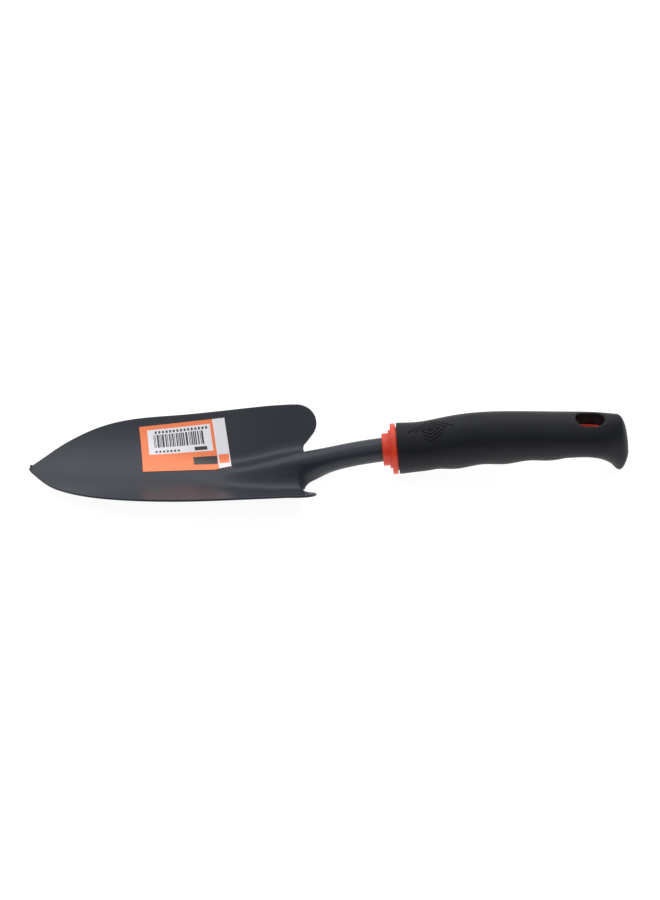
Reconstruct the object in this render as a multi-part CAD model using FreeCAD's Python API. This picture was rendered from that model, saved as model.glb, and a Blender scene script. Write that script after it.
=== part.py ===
"""Hand trowel: pressed steel blade with a rolled neck, moulded handle core, rubber grip and a label.

Frame: millimetres, +X from the blade's tip towards the handle, +Y across, +Z up.
The trowel lies on its belly and on the hook of its pommel, and the origin is under its middle.
"""
import FreeCAD, Part
import functools
import math
import os
from FreeCAD import Vector

# ---------------------------------------------------------------- driving dimensions, mm
LENGTH = 320.0                      # overall, tip to pommel
TIP_X = -LENGTH / 2
END_X = LENGTH / 2

# Blade and neck, one sheet
SHEET = 1.2                         # steel thickness
SPOON_RADIUS = 60.0                 # dish of the front of the blade, across
SPOON_END_X = -105.0                # where the spoon starts to turn into the V of the rear
VEE_START_X = -55.0                 # where the V is complete
CREST_SHARE = 0.34                  # of the crest-to-valley arc that rounds the ridge's crest
VALLEY_SHARE = 0.40                 # and that rounds the inside of each valley
VALLEY_OUTER = 7.5                  # arc that rounds the outside of each valley
TUBE_RADIUS = 6.4                   # outside of the rolled neck
SEAM_GAP = 0.4                      # between the two rolled edges, under the neck
TANG_END_X = 88.0                   # where the neck ends, inside the handle
TANG_HALF = math.pi * TUBE_RADIUS - SEAM_GAP / 2    # half of the flat width that is rolled up
TANG_SLOPE = 0.14                   # rise of the straight part of the neck, inside the handle
TANG_START_X = 28.0                 # where the neck becomes straight
TANG_START_Z = 22.6                 # height of its top there

# Blade outline in plan: half-width along X, then the rear corners
HALF_WIDTH = [(-159.7, 1.6), (-154.0, 7.5), (-147.0, 14.3), (-138.0, 20.4), (-125.0, 26.4),
              (-108.0, 30.6), (-85.0, 32.8), (-50.0, 34.7), (-5.0, 36.4)]
TIP_BOW = 0.3                       # how far the rounded tip stands in front of its corners
WING_CORNER_X = 7.0                 # where a wing's side and rear edges would meet, on the flat sheet
WING_CORNER_ARC = 45.9
SHOULDER_RADIUS = 10.2              # that rounds this corner
REAR_LEAN = math.radians(38.0)      # of the wings' rear edges, from straight across, on the flat sheet
NOTCH_RADIUS = 2.7                  # corner between a wing's rear edge and the neck

# Along X on the blade: height of its side edges, angle of the wings, angle of the ridge's flanks, and
# sheet from the crest to each valley. The height of the belly and of the crest follows from these.
EDGE_HEIGHT = [(-160.0, 8.6), (-153.0, 9.1), (-140.0, 11.3), (-122.0, 14.2), (-108.0, 15.2),
               (-80.0, 15.6), (-40.0, 18.1), (-5.0, 20.2)]
WING_ANGLE = [(-110.0, 31.0), (-66.0, 30.5), (-40.0, 36.8), (-19.0, 39.5), (-6.0, 39.2)]
FLANK_ANGLE = [(-61.0, 0.0), (-56.0, 13.0), (-50.0, 22.0), (-40.0, 31.0), (-28.0, 38.0), (-14.0, 46.0),
               (0.0, 49.0)]
VALLEY_ARC = [(-61.0, 6.0), (-50.0, 7.8), (-40.0, 10.5), (-28.0, 14.2), (-14.0, 17.6), (0.0, 20.3)]

# Along X on the neck: height of its top, how soon it is rolled up, and half of the sheet's flat width
NECK_JOIN_X = -19.0                 # behind this the crest follows the neck's own line
NECK_TOP = [(-19.0, 12.1), (-10.0, 14.2), (2.0, 17.2), (14.0, 20.1)]
NECK_TOP += [(TANG_START_X + i * 20.0, TANG_START_Z + i * 20.0 * TANG_SLOPE) for i in range(4)]
ROLL_START_X = -16.5
ROLL_LENGTH = 8.5
ROLL_POWER = 1.2
NECK_HALF = [(-16.0, 16.2), (-4.0, 17.6), (10.0, TANG_HALF)]

# Handle core: three collar discs round the neck, then a body inside the grip
TANG_LEAN = math.atan(TANG_SLOPE)   # of the tang's axis, from level
LEAN = math.radians(4.6)            # of the collar's axis, and of every section of the handle from upright
COLLAR = [(30.0, 8.7), (33.4, 10.3), (34.7, 13.5)]  # where each disc starts, and its radius
COLLAR_END_X = 37.4
SPIGOT_RADIUS = 11.6                # of the collar's root, which shows in the groove before the grip
SPIGOT_END_X = 46.0
BORE_CLEARANCE = 0.1                # around the tang
BORE_END_X = TANG_END_X + 1.5
BODY_START_X = 38.8                 # of the core's body, inside the grip
CORE_END_X = 151.0
CORE_WALL = [(39.0, 2.4), (60.0, 3.0), (110.0, 4.4), (135.0, 5.4), (150.0, 5.4)]    # of rubber beside it
CORE_TOP_SHARE = 1.4                # the rubber above it is this much thicker

# Grip: profile from the side (top, bottom and the height where it is widest) and half-width
GRIP_START_X = 38.0
GRIP_TOP = [(36.0, 31.0), (50.0, 31.3), (60.0, 33.7), (71.0, 36.0), (82.0, 37.1), (100.0, 37.1),
            (120.0, 36.2), (140.0, 35.6), (150.0, 35.8), (158.0, 36.0)]
GRIP_BOTTOM = [(40.0, 3.4), (66.0, 6.4), (92.0, 9.2), (116.0, 10.8), (134.0, 12.6), (144.0, 11.4),
               (150.0, 8.3), (154.0, 4.5), (156.5, 1.4), (158.5, 0.0), (161.0, -0.4)]
GRIP_MIDDLE = [(39.0, 17.1), (60.0, 19.9), (82.0, 22.6), (102.0, 23.8), (130.0, 24.0), (150.0, 20.0),
               (157.0, 15.5)]
GRIP_HALF_WIDTH = [(39.0, 13.5), (55.0, 13.2), (71.0, 13.7), (100.0, 13.4), (130.0, 12.8), (146.0, 12.3),
                   (155.0, 11.0), (160.0, 10.0)]
FINGER_PITCH = 25.0                 # of the finger ripples under the grip
FINGER_FIRST_X = 69.5               # lowest point of the first one
FINGER_DEPTH = 0.9
FINGERS_FROM = (52.0, 62.0)         # over these stretches the ripples come in
FINGERS_TO = (122.0, 130.0)         # and fade out
HALF_DEPTH = 14.0                   # about the grip's half-height, for where its leaning sections end
CAP_LENGTH = 5.0                    # over which the pommel closes
CAP_FULLNESS = 2.5                  # 2 would close it as an ellipse, more makes its end flatter
UPRIGHT = (130.0, 150.0)            # over this stretch the lower half of the sections turns upright
SLOT_X = 137.6                      # middle of the hanging slot
SLOT_LENGTH = 15.0
SLOT_WIDTH = 10.2
CORE_SLOT_INSET = 0.4               # the slot is this much smaller all round in the core

# Label, a rectangle on the flat sheet
LABEL_X = -77.6                     # its middle
LABEL_ARC = 16.1
LABEL_LENGTH = 47.5
LABEL_WIDTH = 30.2
LABEL_TURN = math.radians(8.5)
LABEL_THICKNESS = 0.15
LABEL_LIFT = 0.05                   # of adhesive under it

# ---------------------------------------------------------------- curves and easing


def ease(t):
    """0 to 1 with flat ends."""
    t = min(max(t, 0.0), 1.0)
    return t * t * (3 - 2 * t)


def along(x, stretch):
    """0 to 1 over a stretch of X."""
    return ease((x - stretch[0]) / (stretch[1] - stretch[0]))


def curve_through(stations):
    """A function of X: the natural cubic spline through the stations, held level past its ends."""
    xs = [x for x, _ in stations]
    ys = [y for _, y in stations]
    count = len(xs)
    steps = [xs[i + 1] - xs[i] for i in range(count - 1)]
    bend = [0.0] * count            # second derivatives, by the usual tridiagonal sweep
    upper = [0.0] * count
    for i in range(1, count - 1):
        slope_change = (ys[i + 1] - ys[i]) / steps[i] - (ys[i] - ys[i - 1]) / steps[i - 1]
        pivot = 2 * (steps[i - 1] + steps[i]) - steps[i - 1] * upper[i - 1]
        upper[i] = steps[i] / pivot
        bend[i] = (6 * slope_change - steps[i - 1] * bend[i - 1]) / pivot
    for i in range(count - 2, 0, -1):
        bend[i] -= upper[i] * bend[i + 1]

    def value(x):
        x = min(max(x, xs[0]), xs[-1])
        i = 0
        while i < count - 2 and x > xs[i + 1]:
            i += 1
        a = (xs[i + 1] - x) / steps[i]
        b = 1 - a
        cubic = (a ** 3 - a) * bend[i] + (b ** 3 - b) * bend[i + 1]
        return a * ys[i] + b * ys[i + 1] + cubic * steps[i] ** 2 / 6

    return value


half_width = curve_through(HALF_WIDTH)
edge_height = curve_through(EDGE_HEIGHT)
neck_top = curve_through(NECK_TOP)
wing_angle = curve_through(WING_ANGLE)
flank_angle = curve_through(FLANK_ANGLE)
valley_arc = curve_through(VALLEY_ARC)
neck_half = curve_through(NECK_HALF)
core_wall = curve_through(CORE_WALL)
grip_top = curve_through(GRIP_TOP)
grip_bottom = curve_through(GRIP_BOTTOM)
grip_middle = curve_through(GRIP_MIDDLE)
grip_half_width = curve_through(GRIP_HALF_WIDTH)

# ---------------------------------------------------------------- forming the sheet
# The sheet is worked out flat, at X and at an arc length from its centre line, and then bent:
# its angle across the trowel is known everywhere, and adding that up along a section gives Y and Z.
ARC_STEP = 0.25
HALF_COLUMNS = 22                   # spaces between the centre line and an edge
ROW_STEP = 3.6                      # largest space between rows across the sheet
TIP_STEP = 0.5                      # the first space between rows, at the tip
NECK_STEP = 0.8                     # and behind the notch
STEP_GROWTH = 1.25                  # of each space to the one before
BOW_SHARE = 0.8                     # of the tip's bow that each row keeps
FAN_START_X = -31.0                 # from here the rows' ends run round the shoulder and the notch
FAN_RATIO = 0.85                    # of each of those rows' space on the centre line to the one before
CORNER_STEPS = 7                    # round the shoulder, and round the notch
EDGE_STEPS = 5                      # along each straight edge beside them
NOTCH_ROWS = 5                      # that end on the neck's side of the notch
NOTCH_POWER = 1.5                   # how their spaces grow
SKEW_POWER = 4                      # a row bends towards its end as this power of the share
PROBE = 0.4                         # step that measures the sheet's slopes
SECTION_STEP = 4.0                  # between the sections of the handle
SECTION_POINTS = 24                 # round the handle
CAP_ROWS = 7                        # sections that close the pommel
CAP_FLAT = 0.35                     # part of a section's turn that is left as a flat at its end
LABEL_CELLS = 12                    # spaces along and across the label


def pressed_angle(x, arc):
    """Angle of the sheet across the blade, rising outwards, as pressed and before the neck is rolled."""
    spoon = arc / SPOON_RADIUS
    flank = math.radians(flank_angle(x))
    wing = math.radians(wing_angle(x))
    valley = valley_arc(x)
    inner = VALLEY_SHARE * valley
    outward = ease((arc - valley + inner) / (inner + VALLEY_OUTER))
    vee = -flank * ease(arc / (CREST_SHARE * valley)) + (flank + wing) * outward
    share = along(x, (SPOON_END_X, VEE_START_X))
    return spoon + (vee - spoon) * share


def rolled_share(x):
    """How far the neck is rolled up at X, from 0, as pressed, to 1, a closed tube."""
    run = max(x - ROLL_START_X, 0.0) / ROLL_LENGTH
    return 1 - math.exp(-run ** ROLL_POWER)


def section(x, reach, rolled):
    """Y and Z from the centre line for every ARC_STEP of sheet out to reach, at one X."""
    roll = rolled_share(x) if rolled else 0.0
    y = 0.0
    z = 0.0
    points = [(0.0, 0.0)]
    count = int(math.ceil(reach / ARC_STEP)) + 1
    for i in range(count):
        arc = (i + 0.5) * ARC_STEP
        angle = (1 - roll) * pressed_angle(x, arc) - roll * arc / TUBE_RADIUS
        y += math.cos(angle) * ARC_STEP
        z += math.sin(angle) * ARC_STEP
        points.append((y, z))
    return points


def arc_and_rise(x, y):
    """Arc length of pressed sheet between the centre line and Y, and its rise."""
    points = section(x, 1.6 * y + 1, False)
    i = 0
    while points[i + 1][0] < y:
        i += 1
    part = (y - points[i][0]) / (points[i + 1][0] - points[i][0])
    return (i + part) * ARC_STEP, points[i][1] + part * (points[i + 1][1] - points[i][1])


@functools.lru_cache(maxsize=None)
def centre_line(x):
    """Height of the upper surface on the centre line: belly, then crest, then top of the neck."""
    if x > NECK_JOIN_X:
        return neck_top(x)
    x = max(x, HALF_WIDTH[0][0])
    return edge_height(x) - arc_and_rise(x, half_width(x))[1]


def formed(x, arc, rolled):
    """The point of the sheet's upper surface at X and arc, a negative arc being the -Y side."""
    side = -1.0 if arc < 0 else 1.0
    reach = abs(arc)
    points = section(x, reach, rolled)
    i = min(int(reach / ARC_STEP), len(points) - 2)
    part = reach / ARC_STEP - i
    y = points[i][0] + (points[i + 1][0] - points[i][0]) * part
    z = points[i][1] + (points[i + 1][1] - points[i][1]) * part
    slope = (centre_line(x + 1) - centre_line(x - 1)) / 2
    lean = math.atan(slope) * (rolled_share(x) if rolled else 0.0)
    return Vector(x - z * math.sin(lean), side * y, centre_line(x) + z * math.cos(lean))


def lifted(x, arc, rolled, height):
    """The point at a height over the sheet's upper surface, square to it."""
    lengthways = formed(x + PROBE, arc, rolled) - formed(x - PROBE, arc, rolled)
    across = formed(x, arc + PROBE, rolled) - formed(x, arc - PROBE, rolled)
    return formed(x, arc, rolled) + lengthways.cross(across).normalize() * height


# ---------------------------------------------------------------- flat outline of the sheet


def rounded(before, corner, after, radius, count):
    """Points of the arc that rounds a corner of an outline."""
    to_before = (before - corner).normalize()
    to_after = (after - corner).normalize()
    half = to_before.getAngle(to_after) / 2
    middle = corner + (to_before + to_after).normalize() * (radius / math.sin(half))
    start = corner + to_before * (radius / math.tan(half)) - middle
    end = corner + to_after * (radius / math.tan(half)) - middle
    swing = math.atan2(start.x * end.y - start.y * end.x, start.dot(end))
    points = []
    for i in range(count + 1):
        turn = swing * i / count
        points.append(middle + Vector(start.x * math.cos(turn) - start.y * math.sin(turn),
                                      start.x * math.sin(turn) + start.y * math.cos(turn), 0))
    return points


def flat_edge(x):
    """Point of the blade's side edge on the flat sheet."""
    return Vector(x, arc_and_rise(x, half_width(x))[0], 0)


def sheet_rows():
    """Each row across the flat sheet: its X on the centre line, its end as X and arc, and if rolled."""
    rows = []
    x = TIP_X
    step = TIP_STEP
    bow = TIP_BOW
    while x < FAN_START_X:
        rows.append((x, flat_edge(x + bow), False))
        x += step
        step = min(step * STEP_GROWTH, ROW_STEP)
        bow *= BOW_SHARE
    start = flat_edge(FAN_START_X)
    wing_corner = Vector(WING_CORNER_X, WING_CORNER_ARC, 0)
    neck_corner_x = WING_CORNER_X - (wing_corner.y - neck_half(ROLL_START_X)) * math.tan(REAR_LEAN)
    neck_corner = Vector(neck_corner_x, neck_half(neck_corner_x), 0)
    on_neck_x = neck_corner_x + 4 * NOTCH_RADIUS
    along_neck = Vector(on_neck_x, neck_half(on_neck_x), 0)
    shoulder = rounded(start, wing_corner, neck_corner, SHOULDER_RADIUS, CORNER_STEPS)
    notch = rounded(wing_corner, neck_corner, along_neck, NOTCH_RADIUS, CORNER_STEPS)
    side = shoulder[0] - start
    rear = notch[0] - shoulder[-1]
    edge = [start + side * (i / EDGE_STEPS) for i in range(EDGE_STEPS)]
    edge += shoulder
    edge += [shoulder[-1] + rear * (i / EDGE_STEPS) for i in range(1, EDGE_STEPS)]
    edge += notch
    front = len(edge) - NOTCH_ROWS
    for i, point in enumerate(edge[:front]):
        share = (1 - FAN_RATIO ** i) / (1 - FAN_RATIO ** front)
        rows.append((FAN_START_X + (ROLL_START_X - FAN_START_X) * share, point, False))
    last_x = notch[-1].x
    for i, point in enumerate(edge[front:]):
        share = ((i + 1) / NOTCH_ROWS) ** NOTCH_POWER
        rows.append((ROLL_START_X + (last_x - ROLL_START_X) * share, point, True))
    x = last_x
    step = NECK_STEP
    while x < TANG_END_X - ROW_STEP:
        x += step
        step = min(step * STEP_GROWTH, ROW_STEP)
        rows.append((x, Vector(x, neck_half(x), 0), True))
    rows.append((TANG_END_X, Vector(TANG_END_X, TANG_HALF, 0), True))
    return rows


def sheet_grid():
    """Rows of upper and lower points across the sheet, from the tip to the end of the tang."""
    upper = []
    lower = []
    for x, edge, rolled in sheet_rows():
        top_row = []
        low_row = []
        for j in range(-HALF_COLUMNS, HALF_COLUMNS + 1):
            share = abs(j) / HALF_COLUMNS
            here = x + (edge.x - x) * share ** SKEW_POWER
            arc = edge.y * j / HALF_COLUMNS
            top_row.append(formed(here, arc, rolled))
            low_row.append(lifted(here, arc, rolled, -SHEET))
        upper.append(top_row)
        lower.append(low_row)
    return upper, lower


# ---------------------------------------------------------------- solids


def curve(points):
    """Cubic spline through the points, evenly parametrised."""
    spline = Part.BSplineCurve()
    spline.interpolate(Points=points, Parameters=[float(i) for i in range(len(points))])
    return spline


def patch(grid):
    """Cubic spline surface through a grid of points, evenly parametrised both ways."""
    rows = [curve(points) for points in grid]
    row_poles = [row.getPoles() for row in rows]
    columns = [curve([poles[j] for poles in row_poles]) for j in range(len(row_poles[0]))]
    column_poles = [column.getPoles() for column in columns]
    poles = [[column[i] for column in column_poles] for i in range(len(column_poles[0]))]
    surface = Part.BSplineSurface()
    surface.buildFromPolesMultsKnots(poles, columns[0].getMultiplicities(), rows[0].getMultiplicities(),
                                     columns[0].getKnots(), rows[0].getKnots(), False, False, 3, 3)
    return surface


def wall(first, second):
    """Ruled surface between two edge curves that share their knots."""
    surface = Part.BSplineSurface()
    poles = [first.getPoles(), second.getPoles()]
    surface.buildFromPolesMultsKnots(poles, [2, 2], first.getMultiplicities(), [0.0, 1.0],
                                     first.getKnots(), False, False, 1, 3)
    return surface


def solid_between(upper, lower):
    """Closed solid between two surfaces whose grids of points match."""
    top = patch(upper)
    low = patch(lower)
    u0, u1, v0, v1 = top.bounds()
    sides = [wall(top.uIso(u0), low.uIso(u0)), wall(top.uIso(u1), low.uIso(u1)),
             wall(top.vIso(v0), low.vIso(v0)), wall(top.vIso(v1), low.vIso(v1))]
    shell = Part.makeShell([surface.toShape() for surface in [top, low] + sides])
    shell.sewShape()
    solid = Part.makeSolid(shell)
    if solid.Volume < 0:
        solid.reverse()
    return solid


# ---------------------------------------------------------------- handle


def turned(lean, steps):
    """Solid turned about a leaning line through the tang's centre: discs as (start X, end X, radius)."""
    axis = Vector(math.cos(lean), 0, math.sin(lean))
    outward = Vector(-math.sin(lean), 0, math.cos(lean))
    centre = Vector(TANG_START_X + TUBE_RADIUS * math.sin(TANG_LEAN), 0,
                    TANG_START_Z - TUBE_RADIUS * math.cos(TANG_LEAN))
    outline = [centre + axis * ((steps[0][0] - centre.x) / math.cos(lean))]
    for start_x, end_x, radius in steps:
        for x in (start_x, end_x):
            outline.append(centre + axis * ((x - centre.x) / math.cos(lean)) + outward * radius)
    outline.append(outline[-1] - outward * steps[-1][2])
    outline.append(outline[0])
    return Part.Face(Part.makePolygon(outline)).revolve(outline[0], axis, 360)


def grip_floor(x):
    """Underside of the grip, with its finger ripples."""
    ends = along(x, FINGERS_FROM) - along(x, FINGERS_TO)
    ripple = math.cos(2 * math.pi * (x - FINGER_FIRST_X) / FINGER_PITCH)
    return grip_bottom(x) - FINGER_DEPTH * ripple * ends


def handle_section(x, inset, closing, upright):
    """Closed curve round the handle, closing from 1 to 0. It leans back, and upright, from 0 to 1,
    takes the lean out of its lower half and adds it to its upper half."""
    middle = grip_middle(x)
    reach = HALF_DEPTH * math.sin(LEAN)
    top = (grip_top(x - reach) - middle) / math.cos(LEAN) - inset * CORE_TOP_SHARE
    bottom = (middle - grip_floor(x + reach)) / math.cos(LEAN) - inset
    wide = grip_half_width(x) - inset
    points = []
    for i in range(SECTION_POINTS):
        turn = 2 * math.pi * i / SECTION_POINTS
        over = math.sin(turn) > 0
        up = math.sin(turn) * closing * (top if over else bottom)
        lean = LEAN * (1 + upright) if over else LEAN * (1 - upright)
        points.append(Vector(x - up * math.sin(lean), math.cos(turn) * closing * wide,
                             middle + up * math.cos(lean)))
    ring = Part.BSplineCurve()
    ring.interpolate(Points=points, PeriodicFlag=True,
                     Parameters=[float(i) for i in range(SECTION_POINTS + 1)])
    return Part.Wire(ring.toShape())


def handle_body(start_x, end_x, wall):
    """Solid handle from start_x to a rounded end at end_x, inset by wall(x) from the grip's surface."""
    wires = []
    cap_x = end_x - CAP_LENGTH
    count = int((cap_x - start_x) / SECTION_STEP)
    for i in range(count + 1):
        x = start_x + (cap_x - start_x) * i / count
        wires.append(handle_section(x, wall(x), 1.0, along(x, UPRIGHT)))
    for i in range(1, CAP_ROWS + 1):
        turn = math.pi / 2 * i / (CAP_ROWS + CAP_FLAT)
        share = math.sin(turn) ** (2 / CAP_FULLNESS)
        x = cap_x + CAP_LENGTH * share
        upright = 0.0 if i == CAP_ROWS else along(x, UPRIGHT)       # the last section is flat
        wires.append(handle_section(x, wall(x), math.cos(turn) ** (2 / CAP_FULLNESS), upright))
    return Part.makeLoft(wires, True)


def slot(inset):
    """Upright oblong with round ends, through the whole handle."""
    radius = SLOT_WIDTH / 2 - inset
    half = SLOT_LENGTH / 2 - inset - radius
    low = -10.0
    tall = 60.0
    body = Part.makeBox(2 * half, 2 * radius, tall, Vector(SLOT_X - half, -radius, low))
    for side in (-1, 1):
        body = body.fuse(Part.makeCylinder(radius, tall, Vector(SLOT_X + side * half, 0, low)))
    return body.removeSplitter()


def make_handle():
    """Core, one moulding with its collar, the tang's blind bore and the slot; and the grip round it."""
    steps = [(COLLAR[0][0], COLLAR[1][0], COLLAR[0][1]), (COLLAR[1][0], COLLAR[2][0], COLLAR[1][1]),
             (COLLAR[2][0], COLLAR_END_X, COLLAR[2][1]), (COLLAR_END_X, SPIGOT_END_X, SPIGOT_RADIUS)]
    collar = turned(LEAN, steps)
    bore = turned(TANG_LEAN, [(COLLAR[0][0] - 5.0, BORE_END_X, TUBE_RADIUS + BORE_CLEARANCE)])
    body = handle_body(BODY_START_X, CORE_END_X, core_wall)
    core = body.fuse(collar).cut(bore).cut(slot(CORE_SLOT_INSET))
    grip = handle_body(GRIP_START_X, END_X, lambda x: 0.0).cut(body.fuse(collar)).cut(slot(0.0))
    return core.Solids[0], grip.Solids[0]


def make_label():
    """Thin rectangle that follows the sheet."""
    upper = []
    lower = []
    for i in range(LABEL_CELLS + 1):
        lengthways = (i / LABEL_CELLS - 0.5) * LABEL_LENGTH
        top_row = []
        low_row = []
        for j in range(LABEL_CELLS + 1):
            across = (j / LABEL_CELLS - 0.5) * LABEL_WIDTH
            x = LABEL_X + lengthways * math.cos(LABEL_TURN) - across * math.sin(LABEL_TURN)
            arc = LABEL_ARC + lengthways * math.sin(LABEL_TURN) + across * math.cos(LABEL_TURN)
            top_row.append(lifted(x, arc, False, LABEL_LIFT + LABEL_THICKNESS))
            low_row.append(lifted(x, arc, False, LABEL_LIFT))
        upper.append(top_row)
        lower.append(low_row)
    return solid_between(upper, lower)


def main():
    os.makedirs("parts", exist_ok=True)
    upper, lower = sheet_grid()
    core, grip = make_handle()
    parts = {"blade": solid_between(upper, lower), "handle_core": core, "grip": grip,
             "label": make_label()}
    for name, shape in parts.items():
        print(name, shape.ShapeType, len(shape.Solids), shape.isValid(), round(shape.Volume), shape.BoundBox)
        shape.exportStep("parts/" + name + ".step")


main()
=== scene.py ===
"""Hand trowel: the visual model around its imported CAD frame, with its floor, lights and camera."""
import math
import random

import bpy
import numpy as np
from mathutils import Matrix, Vector


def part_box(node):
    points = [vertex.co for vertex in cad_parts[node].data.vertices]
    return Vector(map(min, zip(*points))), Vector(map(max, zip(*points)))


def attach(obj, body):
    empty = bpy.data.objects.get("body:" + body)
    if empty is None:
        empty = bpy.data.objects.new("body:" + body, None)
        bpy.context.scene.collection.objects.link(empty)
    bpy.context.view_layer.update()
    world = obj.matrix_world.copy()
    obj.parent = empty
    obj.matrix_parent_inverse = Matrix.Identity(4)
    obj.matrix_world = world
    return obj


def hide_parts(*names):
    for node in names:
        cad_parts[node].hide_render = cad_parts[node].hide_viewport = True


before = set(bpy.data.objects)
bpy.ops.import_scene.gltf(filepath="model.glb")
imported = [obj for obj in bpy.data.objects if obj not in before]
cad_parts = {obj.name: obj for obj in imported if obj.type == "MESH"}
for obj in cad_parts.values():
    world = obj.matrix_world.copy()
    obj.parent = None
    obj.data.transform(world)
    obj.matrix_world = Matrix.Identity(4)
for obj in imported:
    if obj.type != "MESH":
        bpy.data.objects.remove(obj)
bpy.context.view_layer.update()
MM = 0.001                          # the shapes below are worked out in millimetres
random.seed(4)

# ---------------------------------------------------------------- dimensions, mm
TIP_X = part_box("blade")[0].x / MM
TANG_END_X = 88.0                   # where the neck ends, inside the handle
SHEET = 1.2                         # steel thickness
RIM_ROUND = 0.32                    # on the cut edges of the sheet
SPOON_RADIUS = 60.0                 # dish of the front of the blade, across
SPOON_END_X = -105.0                # where the spoon starts to turn into the V of the rear
VEE_START_X = -55.0                 # where the V is complete
CREST_SHARE = 0.34                  # of the crest-to-valley arc that rounds the ridge's crest
VALLEY_SHARE = 0.40                 # and that rounds the inside of each valley
VALLEY_OUTER = 7.5                  # arc that rounds the outside of each valley
TUBE_RADIUS = 6.4                   # outside of the rolled neck
TANG_HALF = math.pi * TUBE_RADIUS - 0.2
TANG_SLOPE = 0.14
TANG_START_X = 28.0
TANG_START_Z = 22.6
HALF_WIDTH = [(-159.7, 1.6), (-154.0, 7.5), (-147.0, 14.3), (-138.0, 20.4), (-125.0, 26.4),
              (-108.0, 30.6), (-85.0, 32.8), (-50.0, 34.7), (-5.0, 36.4)]
TIP_BOW = 0.3                       # how far the rounded tip stands in front of its corners
WING_CORNER_X = 7.0                 # where a wing's side and rear edges would meet, on the flat sheet
WING_CORNER_ARC = 45.9
SHOULDER_RADIUS = 10.2              # that rounds this corner
REAR_LEAN = math.radians(38.0)      # of the wings' rear edges, from straight across, on the flat sheet
NOTCH_RADIUS = 2.7                  # corner between a wing's rear edge and the neck
EDGE_HEIGHT = [(-160.0, 8.6), (-153.0, 9.1), (-140.0, 11.3), (-122.0, 14.2), (-108.0, 15.2),
               (-80.0, 15.6), (-40.0, 18.1), (-5.0, 20.2)]
WING_ANGLE = [(-110.0, 31.0), (-66.0, 30.5), (-40.0, 36.8), (-19.0, 39.5), (-6.0, 39.2)]
FLANK_ANGLE = [(-61.0, 0.0), (-56.0, 13.0), (-50.0, 22.0), (-40.0, 31.0), (-28.0, 38.0), (-14.0, 46.0),
               (0.0, 49.0)]
VALLEY_ARC = [(-61.0, 6.0), (-50.0, 7.8), (-40.0, 10.5), (-28.0, 14.2), (-14.0, 17.6), (0.0, 20.3)]
NECK_JOIN_X = -19.0                 # behind this the crest follows the neck's own line
NECK_TOP = [(-19.0, 12.1), (-10.0, 14.2), (2.0, 17.2), (14.0, 20.1)]
NECK_TOP += [(TANG_START_X + i * 20.0, TANG_START_Z + i * 20.0 * TANG_SLOPE) for i in range(4)]
ROLL_START_X = -16.5
ROLL_LENGTH = 8.5
ROLL_POWER = 1.2
NECK_HALF = [(-16.0, 16.2), (-4.0, 17.6), (10.0, TANG_HALF)]
ROW_STEP = 2.2                      # largest space between rows across the sheet
TIP_STEP = 0.4                      # the first space between rows, at the tip and behind the notch
STEP_GROWTH = 1.2                   # of each space to the one before
BOW_SHARE = 0.8                     # of the tip's bow that each row keeps
FAN_START_X = -31.0                 # from here the rows' ends run round the shoulder and the notch
FAN_RATIO = 0.93                    # of each of those rows' space on the centre line to the one before
CORNER_STEPS = 14                   # round the shoulder, and round the notch
EDGE_STEPS = 8                      # along each straight edge beside them
NOTCH_ROWS = 10                     # that end on the neck's side of the notch
NOTCH_POWER = 1.5                   # how their spaces grow
SKEW_POWER = 4                      # a row bends towards its end as this power of the share
HALF_COLUMNS = 48                   # spaces between the centre line and an edge
ARC_STEP = 0.25

LEAN = math.radians(4.6)            # of the collar's axis, and of every section of the handle
# the core's three discs (front, radius), then its narrower root inside the grip
COLLAR = [(30.0, 8.7), (33.4, 10.3), (34.7, 13.5)]
COLLAR_END_X = 37.4
SPIGOT_RADIUS = 11.6
SPIGOT_END_X = 46.0
CORE_END_X = 151.0
# thickness of the rubber over the core
CORE_WALL = [(39.0, 2.4), (60.0, 3.0), (110.0, 4.4), (135.0, 5.4), (150.0, 5.4)]
CORE_TOP_SHARE = 1.4                # the rubber above the core is this much thicker than beside it
BODY_START_X = 38.8
GRIP_START_X = 38.0
GRIP_END_X = -TIP_X
# top and bottom line, widest line's height, and half-width along the grip
GRIP_TOP = [(36.0, 31.0), (50.0, 31.3), (60.0, 33.7), (71.0, 36.0), (82.0, 37.1), (100.0, 37.1),
            (120.0, 36.2), (140.0, 35.6), (150.0, 35.8), (158.0, 36.0)]
GRIP_BOTTOM = [(40.0, 3.4), (66.0, 6.4), (92.0, 9.2), (116.0, 10.8), (134.0, 12.6), (144.0, 11.4),
               (150.0, 8.3), (154.0, 4.5), (156.5, 1.4), (158.5, 0.0), (161.0, -0.4)]
GRIP_MIDDLE = [(39.0, 17.1), (60.0, 19.9), (82.0, 22.6), (102.0, 23.8), (130.0, 24.0), (150.0, 20.0),
               (157.0, 15.5)]
GRIP_HALF_WIDTH = [(39.0, 13.5), (55.0, 13.2), (71.0, 13.7), (100.0, 13.4), (130.0, 12.8), (146.0, 12.3),
                   (155.0, 11.0), (160.0, 10.0)]
# the shallow ripples for the fingers beneath
FINGER_PITCH = 25.0
FINGER_FIRST_X = 69.5
FINGER_DEPTH = 0.9
FINGERS_FROM = (52.0, 62.0)         # over these stretches the ripples come in
FINGERS_TO = (122.0, 130.0)         # and fade out
CAP_LENGTH = 5.0                    # of the rounding at the grip's end
CAP_FULLNESS = 2.5                  # 2 would close it as an ellipse, more makes its end flatter
CAP_FLAT = 0.35                     # its rings stop this part of a step before they would close
UPRIGHT = (130.0, 150.0)            # over this stretch the lower half of the sections turns upright
HALF_DEPTH = 14.0                   # about the grip's half-height
# the slot to hang it by, through the handle
SLOT_X = 137.6
SLOT_LENGTH = 15.0
SLOT_WIDTH = 10.2
CORE_SLOT_INSET = 0.4               # the core's slot is this much narrower all round

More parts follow.
